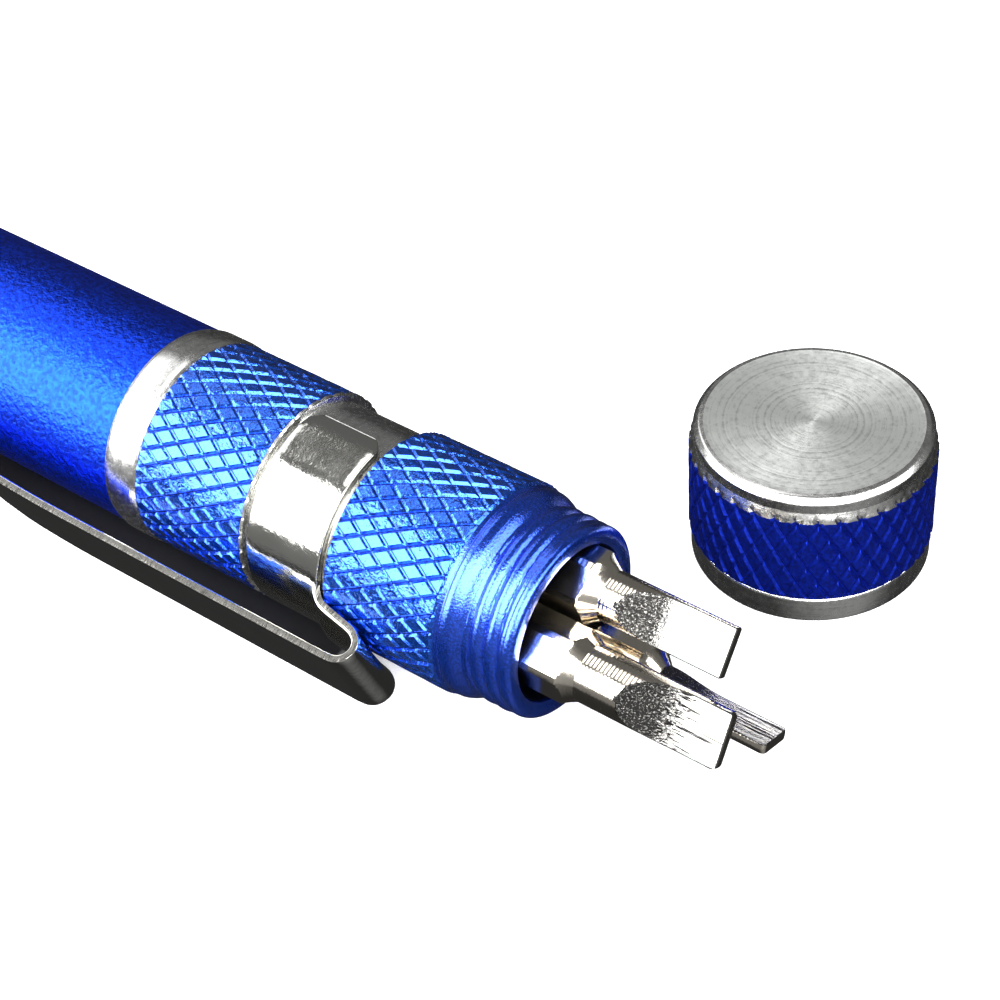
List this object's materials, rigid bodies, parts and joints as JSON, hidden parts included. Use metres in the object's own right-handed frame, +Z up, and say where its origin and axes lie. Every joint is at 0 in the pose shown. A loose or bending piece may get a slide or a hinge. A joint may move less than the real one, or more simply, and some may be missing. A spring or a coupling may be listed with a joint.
{
  "type": "pocket screwdriver",
  "caption": "Pen-shaped pocket screwdriver with a knurled aluminium barrel, a pocket clip, a screw cap taken off and hex bits stored in the bore.",
  "frame": {"origin": "middle of the overall box on the table that the screwdriver and its cap stand on", "axes": "+X along the barrel towards its open mouth, +Y towards the cap, +Z up"},
  "size_m": [0.1364, 0.036, 0.0132],
  "materials": {
    "blue_anodised": "satin",
    "navy_anodised": "satin",
    "socket_steel": "satin",
    "magnet": "gloss",
    "clip_steel": "satin",
    "bit_steel": "gloss"
  },
  "bodies": {
    "handle": {"barrel": "blue_anodised", "bit_socket": "socket_steel", "socket_magnet": "magnet"},
    "clip": {"pocket_clip": "clip_steel"},
    "screw_cap": {"cap": "navy_anodised"},
    "medium_flat": {"flat_bit_medium": "bit_steel"},
    "wide_flat": {"flat_bit_wide": "bit_steel"},
    "small_flat": {"flat_bit_small": "bit_steel"},
    "small_cross": {"cross_bit_small": "bit_steel"},
    "fine_cross": {"cross_bit_fine": "bit_steel"},
    "fine_flat": {"flat_bit_fine": "bit_steel"},
    "small_star": {"star_bit_small": "bit_steel"},
    "medium_star": {"star_bit_medium": "bit_steel"},
    "extra_wide_flat": {"flat_bit_extra_wide": "bit_steel"},
    "working_bit": {"cross_bit_medium": "bit_steel"}
  },
  "joints": [
    {"name": "clip_swivel", "type": "hinge", "parent": "handle", "child": "clip", "pos_m": [0.0397, -0.00853, 0.0066], "axis": [1, 0, 0], "continuous": true},
    {"name": "cap_lift", "type": "slide", "parent": "handle", "child": "screw_cap", "axis": [0, 0, 1], "range_m": [0, 0.04]},
    {"name": "medium_flat_slide", "type": "slide", "parent": "handle", "child": "medium_flat", "axis": [1, 0, 0], "range_m": [-0.0104, 0.02]},
    {"name": "wide_flat_slide", "type": "slide", "parent": "handle", "child": "wide_flat", "axis": [1, 0, 0], "range_m": [-0.0127, 0.02]},
    {"name": "small_flat_slide", "type": "slide", "parent": "handle", "child": "small_flat", "axis": [1, 0, 0], "range_m": [-0.0136, 0.02]},
    {"name": "small_cross_play", "type": "slide", "parent": "handle", "child": "small_cross", "axis": [1, 0, 0], "range_m": [0, 0.0004]},
    {"name": "fine_cross_play", "type": "slide", "parent": "handle", "child": "fine_cross", "axis": [1, 0, 0], "range_m": [0, 0.0004]},
    {"name": "fine_flat_play", "type": "slide", "parent": "handle", "child": "fine_flat", "axis": [1, 0, 0], "range_m": [0, 0.0004]},
    {"name": "small_star_play", "type": "slide", "parent": "handle", "child": "small_star", "axis": [1, 0, 0], "range_m": [0, 0.0004]},
    {"name": "medium_star_play", "type": "slide", "parent": "handle", "child": "medium_star", "axis": [1, 0, 0], "range_m": [0, 0.0004]},
    {"name": "extra_wide_flat_play", "type": "slide", "parent": "handle", "child": "extra_wide_flat", "axis": [1, 0, 0], "range_m": [0, 0.0004]},
    {"name": "working_bit_pull", "type": "slide", "parent": "handle", "child": "working_bit", "axis": [-1, 0, 0], "range_m": [0, 0.03]}
  ]
}
